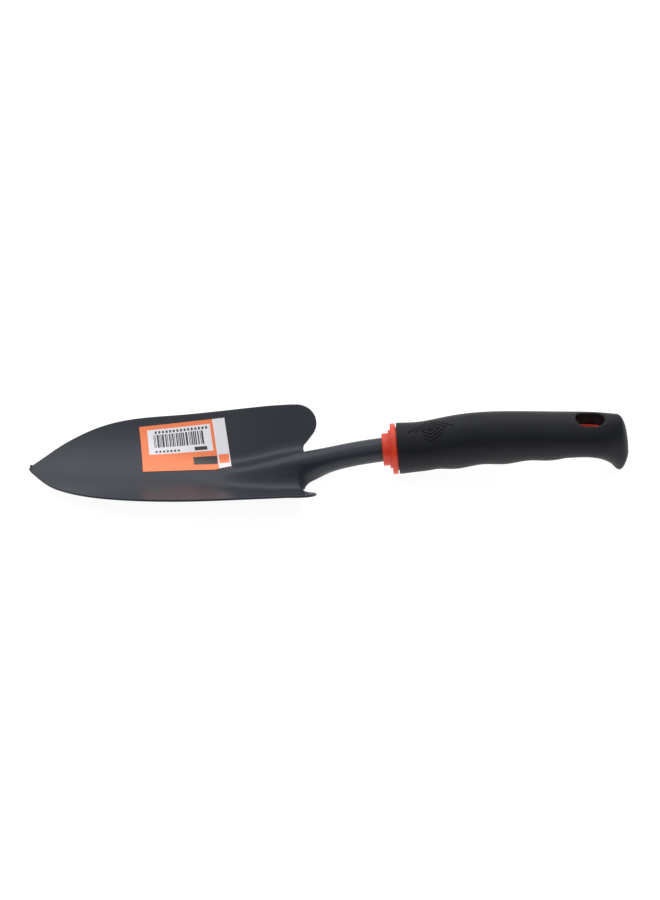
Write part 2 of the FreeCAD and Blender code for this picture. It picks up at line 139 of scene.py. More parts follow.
# the label: its middle on the flat sheet, its size, and how it is turned
LABEL_X = -77.6
LABEL_ARC = 16.1
LABEL_LENGTH = 47.5
LABEL_WIDTH = 30.2
LABEL_TURN = math.radians(8.5)
LABEL_LIFT = 0.05                   # clear of the blade, so the two surfaces don't touch
LABEL_THICKNESS = 0.15

# ---------------------------------------------------------------- curves


def ease(t):
    """0 to 1 with flat ends."""
    t = np.clip(t, 0.0, 1.0)
    return t * t * (3 - 2 * t)


def over(x, stretch):
    """0 to 1 over a stretch of X."""
    return ease((x - stretch[0]) / (stretch[1] - stretch[0]))


def curve_through(stations):
    """A function of X: the natural cubic spline through the stations, held level past its ends."""
    xs = np.array([x for x, _ in stations])
    ys = np.array([y for _, y in stations])
    count = len(xs)
    steps = np.diff(xs)
    matrix = np.eye(count)
    change = np.zeros(count)
    for i in range(1, count - 1):
        matrix[i, i - 1:i + 2] = steps[i - 1], 2 * (steps[i - 1] + steps[i]), steps[i]
        change[i] = 6 * ((ys[i + 1] - ys[i]) / steps[i] - (ys[i] - ys[i - 1]) / steps[i - 1])
    bend = np.linalg.solve(matrix, change)

    def value(x):
        x = np.clip(x, xs[0], xs[-1])
        i = np.clip(np.searchsorted(xs, x) - 1, 0, count - 2)
        a = (xs[i + 1] - x) / steps[i]
        b = 1 - a
        cubic = (a ** 3 - a) * bend[i] + (b ** 3 - b) * bend[i + 1]
        return a * ys[i] + b * ys[i + 1] + cubic * steps[i] ** 2 / 6

    return value


half_width = curve_through(HALF_WIDTH)
edge_height = curve_through(EDGE_HEIGHT)
neck_top = curve_through(NECK_TOP)
wing_angle = curve_through(WING_ANGLE)
flank_angle = curve_through(FLANK_ANGLE)
valley_arc = curve_through(VALLEY_ARC)
neck_half = curve_through(NECK_HALF)
core_wall = curve_through(CORE_WALL)
grip_top = curve_through(GRIP_TOP)
grip_bottom = curve_through(GRIP_BOTTOM)
grip_middle = curve_through(GRIP_MIDDLE)
grip_half_width = curve_through(GRIP_HALF_WIDTH)

# ---------------------------------------------------------------- the formed sheet
# The sheet is worked out flat, at X and at an arc length from its centre line, and then bent:
# its angle across the trowel is known everywhere, and adding that up along a section gives Y and Z.
ARCS = (np.arange(260) + 0.5) * ARC_STEP


def pressed_angles(x):
    """Angle of the sheet at each of ARCS, rising outwards, before the neck is rolled."""
    spoon = ARCS / SPOON_RADIUS
    flank = math.radians(flank_angle(x))
    wing = math.radians(wing_angle(x))
    valley = valley_arc(x)
    inner = VALLEY_SHARE * valley
    outward = ease((ARCS - valley + inner) / (inner + VALLEY_OUTER))
    vee = -flank * ease(ARCS / (CREST_SHARE * valley)) + (flank + wing) * outward
    share = ease((x - SPOON_END_X) / (VEE_START_X - SPOON_END_X))
    return spoon + (vee - spoon) * share


def rolled_share(x):
    """How far the neck is rolled up at X, from 0, as pressed, to 1, a closed tube."""
    run = max(x - ROLL_START_X, 0.0) / ROLL_LENGTH
    return 1 - math.exp(-run ** ROLL_POWER)


def section(x, roll):
    """Y and Z from the centre line at every ARC_STEP of sheet, at one X."""
    angles = (1 - roll) * pressed_angles(x) - roll * ARCS / TUBE_RADIUS
    y = np.concatenate([[0.0], np.cumsum(np.cos(angles))]) * ARC_STEP
    z = np.concatenate([[0.0], np.cumsum(np.sin(angles))]) * ARC_STEP
    return y, z


def arc_and_rise(x, y):
    """Arc length of pressed sheet between the centre line and Y, and its rise."""
    ys, zs = section(x, 0.0)
    past = np.argmax(ys >= y)
    part = (y - ys[past - 1]) / (ys[past] - ys[past - 1])
    return (past - 1 + part) * ARC_STEP, zs[past - 1] + part * (zs[past] - zs[past - 1])


def centre_line(x):
    """Height of the upper surface on the centre line: belly, then crest, then top of the neck."""
    if x > NECK_JOIN_X:
        return float(neck_top(x))
    x = max(x, HALF_WIDTH[0][0])
    return float(edge_height(x)) - arc_and_rise(x, half_width(x))[1]


def formed(x, arc, rolled):
    """The point of the sheet's upper surface at X and arc, a negative arc being the -Y side."""
    roll = rolled_share(x) if rolled else 0.0
    ys, zs = section(x, roll)
    at = abs(arc) / ARC_STEP
    y = np.interp(at, np.arange(len(ys)), ys)
    z = np.interp(at, np.arange(len(zs)), zs)
    slope = (centre_line(x + 1) - centre_line(x - 1)) / 2 if roll else 0.0
    lean = math.atan(slope) * roll
    return [x - z * math.sin(lean), math.copysign(y, arc), centre_line(x) + z * math.cos(lean)]


def rounded(before, corner, after, radius, count):
    """Points of the arc that rounds a corner of an outline."""
    to_before = (before - corner).normalized()
    to_after = (after - corner).normalized()
    half = to_before.angle(to_after) / 2
    middle = corner + (to_before + to_after).normalized() * (radius / math.sin(half))
    start = corner + to_before * (radius / math.tan(half)) - middle
    end = corner + to_after * (radius / math.tan(half)) - middle
    swing = math.atan2(start.x * end.y - start.y * end.x, start.dot(end))
    points = []
    for i in range(count + 1):
        turn = swing * i / count
        points.append(middle + Matrix.Rotation(turn, 3, "Z") @ start)
    return points


def flat_edge(x):
    """Point of the blade's side edge on the flat sheet."""
    return Vector((x, arc_and_rise(x, half_width(x))[0], 0))


def sheet_rows():
    """Each row across the flat sheet: its X on the centre line, its end as X and arc, and if rolled."""
    rows = []
    x = TIP_X
    step = TIP_STEP
    bow = TIP_BOW
    while x < FAN_START_X:
        rows.append((x, flat_edge(x + bow), False))
        x += step
        step = min(step * STEP_GROWTH, ROW_STEP)
        bow *= BOW_SHARE
    start = flat_edge(FAN_START_X)
    wing_corner = Vector((WING_CORNER_X, WING_CORNER_ARC, 0))
    neck_corner_x = WING_CORNER_X - (WING_CORNER_ARC - neck_half(ROLL_START_X)) * math.tan(REAR_LEAN)
    neck_corner = Vector((neck_corner_x, neck_half(neck_corner_x), 0))
    on_neck_x = neck_corner_x + 4 * NOTCH_RADIUS
    along_neck = Vector((on_neck_x, neck_half(on_neck_x), 0))
    shoulder = rounded(start, wing_corner, neck_corner, SHOULDER_RADIUS, CORNER_STEPS)
    notch = rounded(wing_corner, neck_corner, along_neck, NOTCH_RADIUS, CORNER_STEPS)
    edge = [start.lerp(shoulder[0], i / EDGE_STEPS) for i in range(EDGE_STEPS)]
    edge += shoulder
    edge += [shoulder[-1].lerp(notch[0], i / EDGE_STEPS) for i in range(1, EDGE_STEPS)]
    edge += notch
    front = len(edge) - NOTCH_ROWS
    for i, point in enumerate(edge[:front]):
        share = (1 - FAN_RATIO ** i) / (1 - FAN_RATIO ** front)
        rows.append((FAN_START_X + (ROLL_START_X - FAN_START_X) * share, point, False))
    last_x = notch[-1].x
    for i, point in enumerate(edge[front:]):
        share = ((i + 1) / NOTCH_ROWS) ** NOTCH_POWER
        rows.append((ROLL_START_X + (last_x - ROLL_START_X) * share, point, True))
    x = last_x
    step = TIP_STEP
    while x < TANG_END_X - ROW_STEP:
        x += step
        step = min(step * STEP_GROWTH, ROW_STEP)
        rows.append((x, Vector((x, neck_half(x), 0)), True))
    rows.append((TANG_END_X, Vector((TANG_END_X, TANG_HALF, 0)), True))
    return rows


def normals_of(grid):
    """Unit normals of a grid of points, to the left of its rows' direction."""
    along = np.gradient(grid, axis=0)
    across = np.gradient(grid, axis=1)
    normal = np.cross(along, across)
    return normal / np.linalg.norm(normal, axis=2, keepdims=True)


# ---------------------------------------------------------------- meshes


def quads(rows, columns, first=0, closed=False):
    """Faces of a grid of vertices, closed round its columns if asked."""
    faces = []
    for i in range(rows - 1):
        for j in range(columns if closed else columns - 1):
            k = (j + 1) % columns
            a = first + i * columns
            faces.append((a + j, a + columns + j, a + columns + k, a + k))
    return faces


def make_object(name, points, faces, material, sharp=None):
    """A smooth-shaded mesh object from points in mm; edges sharper than this many degrees stay sharp."""
    mesh = bpy.data.meshes.new(name)
    mesh.from_pydata([tuple(float(c) * MM for c in p) for p in points], [], faces)
    mesh.update()
    mesh.shade_smooth()
    if sharp:
        mesh.set_sharp_from_angle(angle=math.radians(sharp))
    mesh.materials.append(material)
    thing = bpy.data.objects.new(name, mesh)
    bpy.context.scene.collection.objects.link(thing)
    return thing


def apply_boolean(thing, cutter):
    """Cuts the cutter out of the thing for good, and removes the cutter."""
    cut = thing.modifiers.new("cut", "BOOLEAN")
    cut.operation = "DIFFERENCE"
    cut.object = cutter
    cut.solver = "EXACT"
    done = bpy.data.meshes.new_from_object(thing.evaluated_get(bpy.context.evaluated_depsgraph_get()))
    thing.modifiers.clear()
    thing.data = done
    bpy.data.objects.remove(cutter)


# ---------------------------------------------------------------- materials


def new_material(name, colour, roughness, **sockets):
    """Principled material; returns it with its tree, shader and object coordinates."""
    material = bpy.data.materials.new(name)
    material.use_nodes = True
    tree = material.node_tree
    shader = tree.nodes["Principled BSDF"]
    shader.inputs["Base Color"].default_value = (*colour, 1)
    shader.inputs["Roughness"].default_value = roughness
    for socket, value in sockets.items():
        shader.inputs[socket.replace("_", " ")].default_value = value
    coordinates = tree.nodes.new("ShaderNodeTexCoord").outputs["Object"]
    return material, tree, shader, coordinates


def noise_of(tree, coordinates, scale, detail=3.0):
    """Factor of a noise texture whose features are about 1/scale metres."""
    texture = tree.nodes.new("ShaderNodeTexNoise")
    texture.inputs["Scale"].default_value = scale
    texture.inputs["Detail"].default_value = detail
    tree.links.new(coordinates, texture.inputs["Vector"])
    return texture.outputs["Fac"]


def ramp_of(tree, factor, stops):
    """Colour ramp over a factor; stops are (place, colour)."""
    ramp = tree.nodes.new("ShaderNodeValToRGB")
    elements = ramp.color_ramp.elements
    while len(elements) < len(stops):
        elements.new(0.5)
    for element, (place, colour) in zip(elements, stops):
        element.position = place
        element.color = (*colour, 1)
    tree.links.new(factor, ramp.inputs["Fac"])
    return ramp.outputs["Color"]


def range_of(tree, factor, low, high):
    """A factor from 0 to 1 moved to run from low to high."""
    mapped = tree.nodes.new("ShaderNodeMapRange")
    mapped.inputs["To Min"].default_value = low
    mapped.inputs["To Max"].default_value = high
    tree.links.new(factor, mapped.inputs["Value"])
    return mapped.outputs["Result"]


def add_bump(tree, shader, heights):
    """Chains bumps of (factor, distance in metres, strength) into the shader's normal."""
    normal = None
    for factor, distance, strength in heights:
        bump = tree.nodes.new("ShaderNodeBump")
        bump.inputs["Distance"].default_value = distance
        bump.inputs["Strength"].default_value = strength
        tree.links.new(factor, bump.inputs["Height"])
        if normal:
            tree.links.new(normal, bump.inputs["Normal"])
        normal = bump.outputs["Normal"]
    tree.links.new(normal, shader.inputs["Normal"])


def shaded(colour, factor):
    """A colour made lighter or darker."""
    return tuple(min(c * factor, 1.0) for c in colour)


def cloud_colour(tree, shader, at, colour, scale, amount):
    """Base colour that drifts lighter and darker by an amount, in clouds of about 1/scale metres."""
    stops = [(0.3, shaded(colour, 1 - amount)), (0.7, shaded(colour, 1 + amount))]
    tree.links.new(ramp_of(tree, noise_of(tree, at, scale), stops), shader.inputs["Base Color"])


def steel_coating():
    """Satin dark grey coating on the blade."""
    colour = (0.031, 0.037, 0.050)
    material, tree, shader, at = new_material("coated_steel", colour, 0.36, Specular_IOR_Level=0.36)
    cloud_colour(tree, shader, at, colour, 35, 0.07)
    tree.links.new(range_of(tree, noise_of(tree, at, 60), 0.31, 0.38), shader.inputs["Roughness"])
    grain = noise_of(tree, at, 1500, 2)
    waves = noise_of(tree, at, 260)
    add_bump(tree, shader, [(grain, 0.00003, 0.35), (waves, 0.00008, 0.25)])
    return material


def orange_plastic():
    """Satin orange-red moulding of the collar and core."""
    colour = (0.86, 0.058, 0.018)
    material, tree, shader, at = new_material("orange_plastic", colour, 0.38)
    cloud_colour(tree, shader, at, colour, 90, 0.08)
    add_bump(tree, shader, [(noise_of(tree, at, 900), 0.00004, 0.3)])
    return material


def black_rubber():
    """Matt black rubber of the grip."""
    colour = (0.0115, 0.0128, 0.0175)
    material, tree, shader, at = new_material("black_rubber", colour, 0.5, Specular_IOR_Level=0.22)
    cloud_colour(tree, shader, at, colour, 50, 0.15)
    tree.links.new(range_of(tree, noise_of(tree, at, 120), 0.46, 0.56), shader.inputs["Roughness"])
    grain = noise_of(tree, at, 2200, 2)
    waves = noise_of(tree, at, 300)
    add_bump(tree, shader, [(grain, 0.00004, 0.5), (waves, 0.0001, 0.15)])
    return material


def printed_paper(name, colour, **sockets):
    """Slightly glossy print on the label."""
    material, tree, shader, at = new_material(name, colour, 0.42, Coat_Weight=0.35,
                                              Coat_Roughness=0.25, **sockets)
    cloud_colour(tree, shader, at, colour, 400, 0.03)
    add_bump(tree, shader, [(noise_of(tree, at, 700), 0.00003, 0.3)])
    return material


STEEL = steel_coating()
ORANGE = orange_plastic()
RUBBER = black_rubber()
# The orange and white inks carry a painted glow: their emission makes them brighter than the lamps alone
# would
GLOWING_ORANGE_INK = printed_paper("label_orange_painted_glow", (0.97, 0.235, 0.075), Emission_Color=(1.0, 0.2, 0.06, 1.0),
                           Emission_Strength=0.18)      # painted glow: the ink gives off light of its own, on top of its orange colour
GLOWING_WHITE_INK = printed_paper("label_white_painted_glow", (0.86, 0.86, 0.90), Emission_Color=(0.9, 0.9, 1.0, 1.0),
                          Emission_Strength=0.16)       # painted glow: the paper gives off light of its own, on top of its white colour
INK_BLACK = printed_paper("label_black", (0.035, 0.033, 0.035))

# ---------------------------------------------------------------- blade


def sheet_grid(rows, inset):
    """Points of the sheet's upper skin, its outline drawn in by inset on the flat sheet."""
    ends = np.array([(edge.x, edge.y) for x, edge, rolled in rows])
    run = np.gradient(ends, axis=0)
    inward = np.stack([run[:, 1], -run[:, 0]], axis=1) / np.linalg.norm(run, axis=1, keepdims=True)
    inward[0] = (1, -1)
    inward[-1] = (-1, -1)
    ends += inward * inset
    centres = np.array([x for x, edge, rolled in rows])
    centres[0] += inset
    centres[-1] -= inset
    grid = []
    for x, (end_x, end_arc), (_, _, rolled) in zip(centres, ends, rows):
        shares = np.arange(-HALF_COLUMNS, HALF_COLUMNS + 1) / HALF_COLUMNS
        grid.append([formed(x + (end_x - x) * abs(share) ** SKEW_POWER, end_arc * share, rolled)
                     for share in shares])
    return np.array(grid)


def make_blade():
    """The sheet's two skins, with a rounded rim along its whole cut edge."""
    rows = sheet_rows()
    upper = sheet_grid(rows, RIM_ROUND)
    outermost = sheet_grid(rows, 0.0)
    normal = normals_of(upper)
    lower = upper - normal * SHEET
    count, columns = upper.shape[:2]
    loop = [(i, columns - 1) for i in range(count)]
    loop += [(count - 1, j) for j in range(columns - 2, -1, -1)]
    loop += [(i, 0) for i in range(count - 2, -1, -1)]
    loop += [(0, j) for j in range(1, columns - 1)]
    start = np.array([upper[k] for k in loop])
    down = np.array([-normal[k] for k in loop])
    out = np.array([outermost[k] for k in loop]) - start
    rings = []
    for turn in np.radians([30, 60, 90]):
        rings.append(start + out * math.sin(turn) + down * RIM_ROUND * (1 - math.cos(turn)))
    for turn in np.radians([90, 60, 30]):
        rings.append(start + out * math.sin(turn) + down * (SHEET - RIM_ROUND * (1 - math.cos(turn))))
    skin = count * columns
    points = list(upper.reshape(-1, 3)) + list(lower.reshape(-1, 3))
    faces = quads(count, columns)
    faces += [face[::-1] for face in quads(count, columns, skin)]
    strips = [[i * columns + j for i, j in loop]]
    for ring in rings:
        strips.append([len(points) + n for n in range(len(loop))])
        points += list(ring)
    strips.append([skin + i * columns + j for i, j in loop])
    for first, second in zip(strips, strips[1:]):
        for n in range(len(loop)):
            m = (n + 1) % len(loop)
            faces.append((first[n], first[m], second[m], second[n]))
    return make_object("blade_sheet", points, faces, STEEL)


# ---------------------------------------------------------------- handle


def spaced(start, end, step_at):
    """Numbers from start to end, each step as long as step_at says there."""
    places = [start]
    while places[-1] < end:
        places.append(places[-1] + step_at(places[-1]))
    places = np.array(places)
    return start + (places - start) * (end - start) / (places[-1] - start)


def grip_floor(x):
    """Underside of the grip, with its finger ripples."""
    ends = over(x, FINGERS_FROM) - over(x, FINGERS_TO)
    ripple = np.cos(2 * math.pi * (x - FINGER_FIRST_X) / FINGER_PITCH)
    return grip_bottom(x) - FINGER_DEPTH * ripple * ends


def handle_ring(x, inset, closing, turns, upright):
    """Ring of points round the handle at the given turns, closing from 1 to 0."""
    middle = grip_middle(x)
    reach = HALF_DEPTH * math.sin(LEAN)
    top = (grip_top(x - reach) - middle) / math.cos(LEAN) - inset * CORE_TOP_SHARE
    bottom = (middle - grip_floor(x + reach)) / math.cos(LEAN) - inset
    wide = grip_half_width(x) - inset
    upper = np.sin(turns) > 0
    up = np.sin(turns) * closing * np.where(upper, top, bottom)
    lean = np.where(upper, LEAN * (1 + upright), LEAN * (1 - upright))
    across = np.cos(turns) * closing * wide
    return np.stack([x - up * np.sin(lean), across, middle + up * np.cos(lean)], axis=1)


def handle_grid(start_x, end_x, wall, step_at, turns, cap_rows):
    """Rings from start_x to the rounded end at end_x, inset by wall(x) from the grip's surface."""
    cap_x = end_x - CAP_LENGTH
    rings = []
    for x in spaced(start_x, cap_x, step_at):
        rings.append(handle_ring(x, wall(x), 1.0, turns, over(x, UPRIGHT)))
    for i in range(1, cap_rows + 1):
        turn = math.pi / 2 * i / (cap_rows + CAP_FLAT)
        x = cap_x + CAP_LENGTH * math.sin(turn) ** (2 / CAP_FULLNESS)
        closing = math.cos(turn) ** (2 / CAP_FULLNESS)
        rings.append(handle_ring(x, wall(x), closing, turns, over(x, UPRIGHT)))
    return np.array(rings)


def slot_distance(x, y):
    """Distance outside the slot's outline, in plan."""
    radius = SLOT_WIDTH / 2
    half = SLOT_LENGTH / 2 - radius
    return np.hypot(np.maximum(np.abs(x - SLOT_X) - half, 0), y) - radius


def slot_prism(inset):
    """Upright oblong cutter, taller than the handle."""
    radius = SLOT_WIDTH / 2 - inset
    half = SLOT_LENGTH / 2 - SLOT_WIDTH / 2
    points = []
    for z in CUTTER_Z:
        for i in range(CUTTER_SIDES):
            turn = 2 * math.pi * (i + 0.5) / CUTTER_SIDES
            side = 1 if math.cos(turn) > 0 else -1
            points.append((SLOT_X + side * half + radius * math.cos(turn), radius * math.sin(turn), z))
    faces = quads(2, CUTTER_SIDES, 0, True)
    faces += [tuple(range(CUTTER_SIDES))[::-1], tuple(range(CUTTER_SIDES, 2 * CUTTER_SIDES))]
    return make_object("cutter", points, faces, RUBBER)


def slotted_solid(name, grid, material, slot_inset, sharp):
    """Object from closed rings, flat at both ends, with the slot cut through it."""
    count = grid.shape[1]
    points = list(grid.reshape(-1, 3))
    faces = [face[::-1] for face in quads(len(grid), count, 0, True)]
    faces.append(tuple(range(count)))
    faces.append(tuple(range(len(points) - count, len(points)))[::-1])
    solid = make_object(name, points, faces, material)
    apply_boolean(solid, slot_prism(slot_inset))
    solid.data.shade_smooth()
    solid.data.set_sharp_from_angle(angle=math.radians(sharp))
    return solid


# The mark pressed into the grip: nested diamonds over its top
MARK_X = 54.6
MARK_SIDE = -2.5                    # its middle lies this far round towards -Y
MARK_STRETCH = 1.6                  # length to width
MARK_RINGS = [0.9, 2.9, 4.9, 7.0]
MARK_GROOVE = 0.42                  # half-width
MARK_DEPTH = 0.5
MARK_FRONT = -4.2                   # on its near side the lines start this far along,
MARK_FRONT_FADE = 0.9
MARK_BACK = 8.5                     # and have faded out here
MARK_BACK_FADE = 3.0
MARK_REACH = 7.9                    # farthest that it goes round the grip, either way
MARK_REACH_FADE = 0.6
MARK_NEAR_SIDE = -0.3               # its near side starts this far round from its middle
MARK_SPAN = 13.0                    # fine rows this far either side of its middle
SLOT_SPAN = 10.0                    # and of the slot's
FINE_STEP = 0.3
COARSE_STEP = 1.4

# Other details of the grip
DIMPLE_X = 152.0                    # a small dent in the near side of the pommel
DIMPLE_Z = 8.6
DIMPLE_LENGTH = 3.0
DIMPLE_HEIGHT = 1.1
DIMPLE_DEPTH = 0.5
SLOT_ROUND = 0.9                    # of the slot's rim
SLOT_INSIDE = -1.5                  # its rounding stops this far inside the slot's outline
FACE_ROUND = 0.5                    # of the grip's front edge
GRIP_FACE = 3.5                     # from that edge in to the collar's root
FINE_TURN = np.radians(1.3)         # between columns over the top, three times that beneath
TOP_TURN = 1.15                     # fine columns this far either side of the top line, in radians
CUTTER_Z = (-5.0, 50.0)             # foot and top of the slot's cutter
CUTTER_SIDES = 64


def mark_depth(along, round_):
    """Depth of the pressed diamonds at a place on the unrolled grip, measured from their middle."""
    ring = np.abs(along) / MARK_STRETCH + np.abs(round_)
    depth = np.zeros_like(ring)
    for k in MARK_RINGS:
        depth = np.maximum(depth, 1 - ease(np.abs(ring - k) / MARK_GROOVE))
    lines = ease((along - MARK_FRONT) / MARK_FRONT_FADE) * ease((MARK_BACK - along) / MARK_BACK_FADE)
    fade = np.where(round_ < MARK_NEAR_SIDE, lines, 1.0)
    fade *= ease((MARK_REACH - np.abs(round_)) / MARK_REACH_FADE)
    return depth * fade * MARK_DEPTH


def grip_steps(x):
    """Fine rows at the mark and at the slot, coarse ones between."""
    if abs(x - MARK_X) < MARK_SPAN or abs(x - SLOT_X) < SLOT_SPAN:
        return FINE_STEP
    return COARSE_STEP


def turn_steps(turn):
    """Fine columns over the top of the grip, coarse ones beneath, in radians."""
    return FINE_TURN if abs(turn - math.pi / 2) < TOP_TURN else 3 * FINE_TURN


def pressed_in(grid):
    """Depth at every point of the grip's surface of its mark, its slot's rounded rim and its dimple."""
    middle = grip_middle(grid[:, :1, 0])
    radius = np.hypot(grid[:, :, 1], grid[:, :, 2] - middle)
    # distance round the surface from the top line, +Y side positive
    round_ = np.arctan2(grid[:, :, 1], grid[:, :, 2] - middle) * radius
    upper = grid[:, :, 2] > middle
    depth = mark_depth(grid[:, :, 0] - MARK_X, round_ - MARK_SIDE) * upper
    apart = slot_distance(grid[:, :, 0], grid[:, :, 1])
    fall = np.clip((SLOT_ROUND - apart) / SLOT_ROUND, 0, 1)
    depth += SLOT_ROUND * (1 - np.sqrt(1 - fall ** 2)) * (apart > SLOT_INSIDE)
    dimple = np.hypot((grid[:, :, 0] - DIMPLE_X) / DIMPLE_LENGTH, (grid[:, :, 2] - DIMPLE_Z) / DIMPLE_HEIGHT)
    return depth + DIMPLE_DEPTH * (1 - ease(dimple)) * (grid[:, :, 1] < 0)


def make_grip():
    """The rubber, with its pressed details and its front face."""
    around = spaced(0, 2 * math.pi, turn_steps)[:-1]
    grid = handle_grid(GRIP_START_X, GRIP_END_X, lambda x: 0.0, grip_steps, around, 14)
    closed = np.concatenate([grid[:, -1:], grid, grid[:, :1]], axis=1)
    normal = -normals_of(closed)[:, 1:-1]
    if normal[len(normal) // 2, np.argmin(np.abs(around - math.pi / 2)), 2] < 0:
        normal = -normal
    grid = grid - normal * pressed_in(grid)[:, :, None]
    # the front face, then its rounded edge
    front = [handle_ring(GRIP_START_X, GRIP_FACE, 1.0, around, 0.0)]
    for turn in np.radians([0, 30, 60]):
        front.append(handle_ring(GRIP_START_X + FACE_ROUND * (1 - math.cos(turn)),
                                 FACE_ROUND * (1 - math.sin(turn)), 1.0, around, 0.0))
    keep = grid[:, 0, 0] > GRIP_START_X + FACE_ROUND
    grid = np.concatenate([np.array(front), grid[keep]])
    return slotted_solid("grip_rubber", grid, RUBBER, 0.0, 50)


COLLAR_EASE = 0.3                   # of the discs' corners
COLLAR_SIDES = 128
BODY_SIDES = 48


def collar_profile():
    """(X along the axis, radius) of the stepped collar, with its corners eased."""
    ease_by = COLLAR_EASE
    profile = [(COLLAR[0][0] + 1.0, TUBE_RADIUS + 0.05), (COLLAR[0][0], TUBE_RADIUS + 0.25)]
    discs = COLLAR + [(COLLAR_END_X, SPIGOT_RADIUS)]
    for (x, radius), (end, after) in zip(discs, discs[1:]):
        profile.append((x, radius - ease_by))
        profile.append((x + ease_by * 0.3, radius - ease_by * 0.3))
        profile.append((x + ease_by, radius))
        profile.append((end - (ease_by if after < radius else 0.0), radius))
    radius = COLLAR[-1][1]
    profile.append((COLLAR_END_X - ease_by * 0.3, radius - ease_by * 0.3))
    profile.append((COLLAR_END_X, radius - ease_by))
    profile.append((COLLAR_END_X, SPIGOT_RADIUS))
    profile.append((SPIGOT_END_X, SPIGOT_RADIUS))
    return profile


def make_core_body():
    """The body that lines the slot inside the grip."""
    around = np.arange(BODY_SIDES) * 2 * math.pi / BODY_SIDES
    grid = handle_grid(BODY_START_X, CORE_END_X, core_wall, lambda x: 3.0, around, 8)
    return slotted_solid("core_body", grid, ORANGE, CORE_SLOT_INSET, 40)


def make_collar():
    """The stepped collar, turned about its axis."""
    tang_lean = math.atan(TANG_SLOPE)
    centre = np.array([TANG_START_X + TUBE_RADIUS * math.sin(tang_lean), 0,
                       TANG_START_Z - TUBE_RADIUS * math.cos(tang_lean)])
    along = np.array([math.cos(LEAN), 0, math.sin(LEAN)])
    up = np.array([-math.sin(LEAN), 0, math.cos(LEAN)])
    side = np.array([0, 1, 0])
    points = []
    profile = collar_profile()
    for x, radius in profile:
        place = centre + along * ((x - centre[0]) / math.cos(LEAN))
        for i in range(COLLAR_SIDES):
            turn = 2 * math.pi * i / COLLAR_SIDES
            points.append(place + (side * math.cos(turn) + up * math.sin(turn)) * radius)
    faces = [face[::-1] for face in quads(len(profile), COLLAR_SIDES, 0, True)]
    return make_object("core_collar", points, faces, ORANGE, 50)


# ---------------------------------------------------------------- label


def label_patch(start, end, near, far, low, high):
    """Points and faces of a thin patch of the label: its span along, its span across, and its lifts."""
    cells = (math.ceil((end - start) / LABEL_CELL), math.ceil((far - near) / LABEL_CELL))
    points = []
    for lift in (high, low):
        for i in range(cells[0] + 1):
            for j in range(cells[1] + 1):
                a = start + (end - start) * i / cells[0]
                b = near + (far - near) * j / cells[1]
                x = LABEL_X + a * math.cos(LABEL_TURN) - b * math.sin(LABEL_TURN)
                arc = LABEL_ARC + a * math.sin(LABEL_TURN) + b * math.cos(LABEL_TURN)
                here = np.array(formed(x, arc, False))
                normal = np.cross(np.array(formed(x + 0.5, arc, False)) - here,
                                  np.array(formed(x, arc + 0.5, False)) - here)
                points.append(here + normal / np.linalg.norm(normal) * lift)
    rows, columns = cells[0] + 1, cells[1] + 1
    grid = rows * columns
    faces = quads(rows, columns) + [face[::-1] for face in quads(rows, columns, grid)]
    loop = [i * columns + columns - 1 for i in range(rows)]
    loop += [(rows - 1) * columns + j for j in range(columns - 2, -1, -1)]
    loop += [i * columns for i in range(rows - 2, -1, -1)]
    loop += list(range(1, columns - 1))
    for n, k in enumerate(loop):
        after = loop[(n + 1) % len(loop)]
        faces.append((k, after, grid + after, grid + k))
    return points, faces


def join_patches(name, patches, material):
    """One object from several patches."""
    points = []
    faces = []
    for patch_points, patch_faces in patches:
        first = len(points)
        points += patch_points
        faces += [tuple(first + k for k in face) for face in patch_faces]
    return make_object(name, points, faces, material, 30)


# Plain shapes printed on the label, mm from its middle: start, end, near side, far side
LABEL_CELL = 1.0
INK = 0.03                          # each layer of print stands this much proud
STRIP = (16.9, LABEL_LENGTH / 2, -LABEL_WIDTH / 2, LABEL_WIDTH / 2)
PANEL = (-19.7, 15.2, -2.9, 12.5)
SMALL_TAB = (5.1, 12.0, -2.1, 0.0)
LARGE_TAB = (3.7, 16.6, -11.0, -6.0)
SQUARE = (17.6, 23.2, -10.9, -5.4)
BARS_START = -16.5
BARS_END = 11.3
BAR_SIDES = (1.3, 9.2)
BAR_WIDTHS = (0.35, 0.35, 0.7, 1.05)
BAR_GAPS = (0.35, 0.35, 0.7)
DASH_ROWS = [(-15.6, 12.8, 9.9, 11.4), (-16.2, -3.5, -2.0, -0.7)]
DASH = 1.1
DASH_PITCH = 2.0


def label_bars():
    """Upright bars of random widths, and rows of short dashes where a real label has its digits."""
    bars = []
    place = BARS_START
    while place < BARS_END:
        width = random.choice(BAR_WIDTHS)
        bars.append((place, min(place + width, BARS_END), *BAR_SIDES))
        place += width + random.choice(BAR_GAPS)
    for start, end, near, far in DASH_ROWS:
        place = start
        while place < end:
            bars.append((place, place + DASH, near, far))
            place += DASH_PITCH
    return bars


def make_label():
    """The sticker and its plain printed shapes: no letters, digits or marks."""
    top = LABEL_LIFT + LABEL_THICKNESS
    under = top - INK
    whole = (-LABEL_LENGTH / 2, LABEL_LENGTH / 2, -LABEL_WIDTH / 2, LABEL_WIDTH / 2)
    layers = [("label_sheet", [whole], LABEL_LIFT, top, GLOWING_ORANGE_INK),
              ("label_white_print", [STRIP, PANEL], under, top + INK, GLOWING_WHITE_INK),
              ("label_black_print", label_bars() + [SMALL_TAB, LARGE_TAB], under, top + 2 * INK, INK_BLACK),
              ("label_orange_print", [SQUARE], under, top + 2 * INK, GLOWING_ORANGE_INK)]
    pieces = []
    for name, shapes, low, high, ink in layers:
        pieces.append(join_patches(name, [label_patch(*shape, low, high) for shape in shapes], ink))
    return pieces


blade = make_blade()
grip = make_grip()
core_body = make_core_body()
core_collar = make_collar()
label = make_label()

